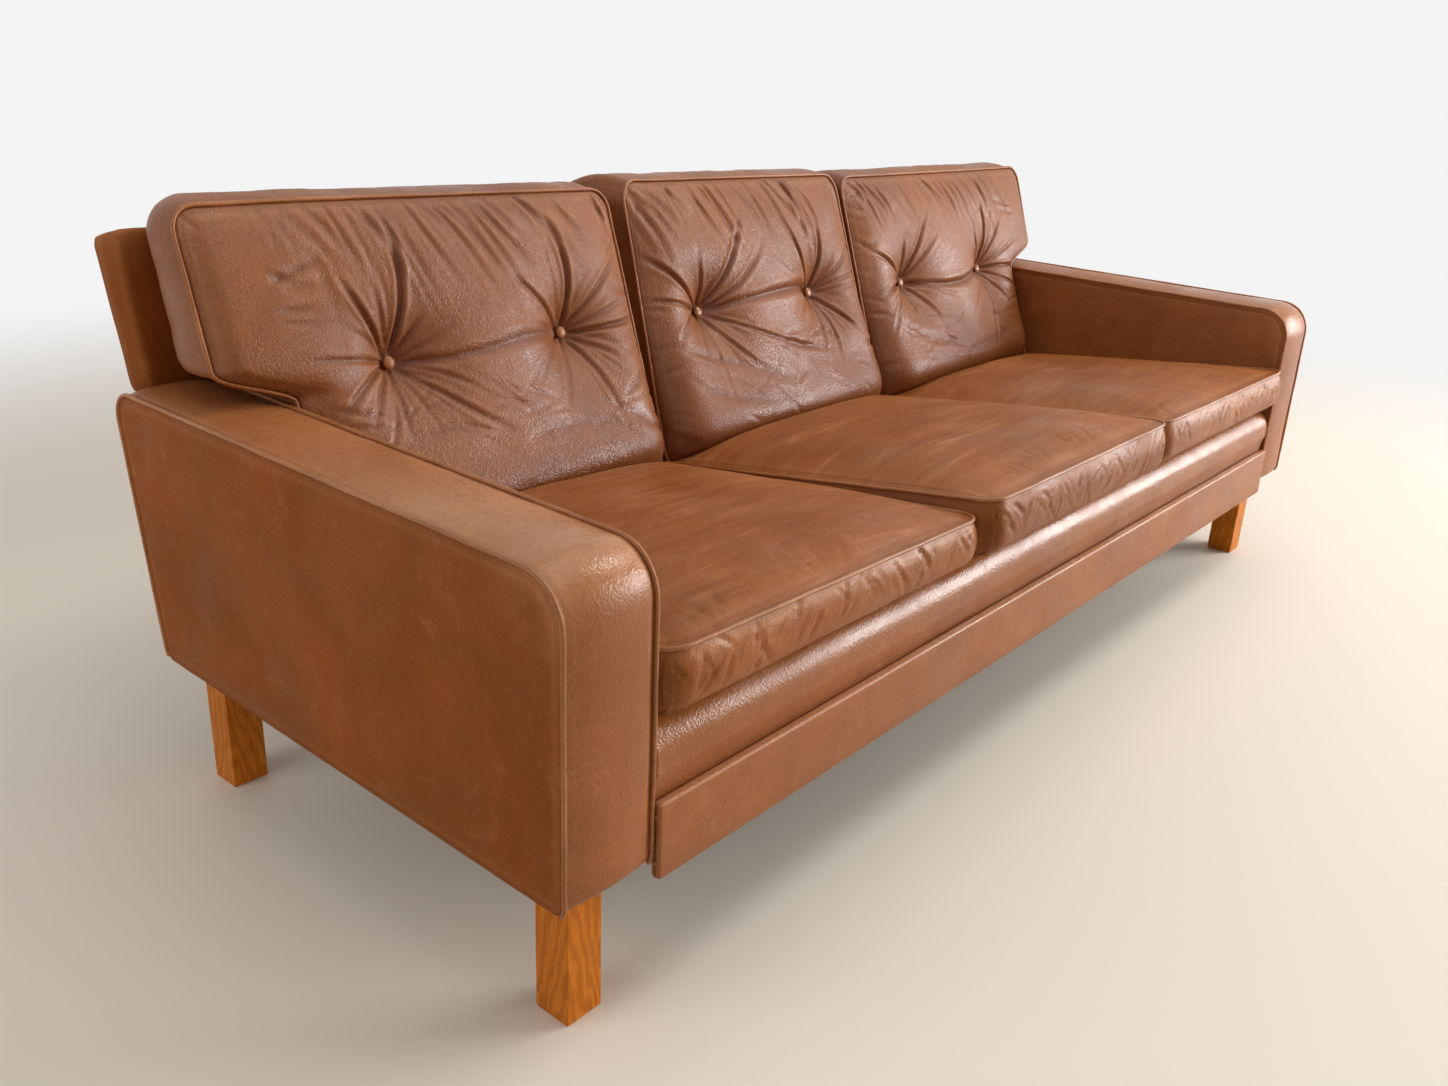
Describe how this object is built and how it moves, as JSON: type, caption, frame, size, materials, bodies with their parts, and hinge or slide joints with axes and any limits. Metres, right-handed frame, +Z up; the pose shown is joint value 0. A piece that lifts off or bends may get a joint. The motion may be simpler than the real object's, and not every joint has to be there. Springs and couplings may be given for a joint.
{
  "type": "worn leather sofa",
  "caption": "Worn low leather sofa: slab arms, leaning back board, welted seat cushions, button-tufted back cushions with ears over the arms, square oak legs.",
  "frame": {"origin": "middle of the sofa's footprint, on the floor", "axes": "+X along the sofa's width, towards its right arm as seen from the front; +Y from the seat's front edge to the back board; +Z up"},
  "size_m": [2.099, 0.9328, 0.7865],
  "materials": {
    "leather": "worn aniline leather, satin with polished patches, creased and scuffed",
    "welt_leather": "worn leather cord, rubbed pale along its crest",
    "button_leather": "smooth leather, slightly glossy",
    "oak": "aged varnish, satin",
    "frame_wood": "sawn, unfinished",
    "webbing": "matte rubberised webbing",
    "dust_cloth": "matte black non-woven cloth",
    "bolt_steel": "plain zinc plated"
  },
  "bodies": {
    "root": {"apron_strip": "leather", "arm_frame_left": "frame_wood", "arm_frame_right": "frame_wood", "arm_left": "leather", "arm_right": "leather", "arm_welt_inner_left": "welt_leather", "arm_welt_inner_right": "welt_leather", "arm_welt_outer_left": "welt_leather", "arm_welt_outer_right": "welt_leather", "back_board": "leather", "back_cushion_left": "leather", "back_cushion_middle": "leather", "back_cushion_right": "leather", "back_frame": "frame_wood", "back_welt_front_left": "welt_leather", "back_welt_front_middle": "welt_leather", "back_welt_front_right": "welt_leather", "back_welt_rear_left": "welt_leather", "back_welt_rear_middle": "welt_leather", "back_welt_rear_right": "welt_leather", "button_left_left": "button_leather", "button_left_right": "button_leather", "button_middle_left": "button_leather", "button_middle_right": "button_leather", "button_right_left": "button_leather", "button_right_right": "button_leather", "dust_cover": "dust_cloth", "front_rail_board": "frame_wood", "front_rail_pad": "leather", "leg_bolt_front_left": "bolt_steel", "leg_bolt_front_right": "bolt_steel", "leg_bolt_rear_left": "bolt_steel", "leg_bolt_rear_right": "bolt_steel", "leg_front_left": "oak", "leg_front_right": "oak", "leg_rear_left": "oak", "leg_rear_right": "oak", "rear_rail": "frame_wood", "seat_cushion_1": "leather", "seat_cushion_2": "leather", "seat_cushion_3": "leather", "seat_strap_1": "webbing", "seat_strap_2": "webbing", "seat_strap_3": "webbing", "seat_strap_4": "webbing", "seat_strap_5": "webbing", "seat_strap_6": "webbing", "seat_strap_7": "webbing", "seat_strap_8": "webbing", "seat_strap_9": "webbing", "seat_welt_1": "welt_leather", "seat_welt_2": "welt_leather", "seat_welt_3": "welt_leather", "side_rail_left": "frame_wood", "side_rail_right": "frame_wood", "stretcher_left": "frame_wood", "stretcher_right": "frame_wood"}
  },
  "joints": []
}
